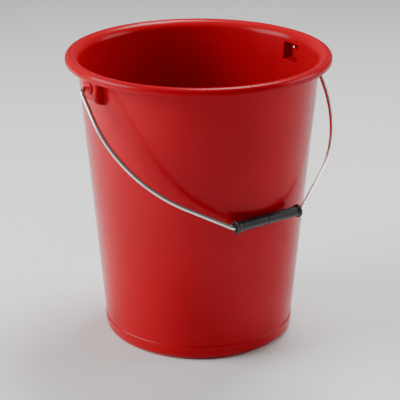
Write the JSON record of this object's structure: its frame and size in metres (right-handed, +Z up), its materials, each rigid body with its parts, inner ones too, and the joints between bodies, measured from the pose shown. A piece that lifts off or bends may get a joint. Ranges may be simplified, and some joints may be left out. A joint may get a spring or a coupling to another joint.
{
  "type": "wash bucket",
  "caption": "Round tapered plastic wash bucket with a flared rim, moulded ears, and a swinging steel wire handle with a turning grip.",
  "frame": {"origin": "on the bucket's axis, at the plane that the foot ring stands on", "axes": "+Z up along the bucket's axis; the handle's two pivots lie along X; the handle rests down the -Y side"},
  "size_m": [0.2944, 0.28, 0.31],
  "materials": {
    "bucket_plastic": "smooth glossy red moulding",
    "plated_wire": "bright plated steel wire",
    "grip_plastic": "black moulding with a soft sheen"
  },
  "bodies": {
    "bucket": {"bucket_body": "bucket_plastic"},
    "bail": {"bail_wire": "plated_wire"},
    "grip": {"handle_grip": "grip_plastic"}
  },
  "joints": [
    {"name": "bail_swing", "type": "hinge", "parent": "bucket", "child": "bail", "pos_m": [0, 0, 0.293], "axis": [-1, 0, 0], "range_deg": [0, 275.3]},
    {"name": "grip_spin", "type": "hinge", "parent": "bail", "child": "grip", "pos_m": [0, -0.12113, 0.15985], "axis": [1, 0, 0], "continuous": true}
  ]
}
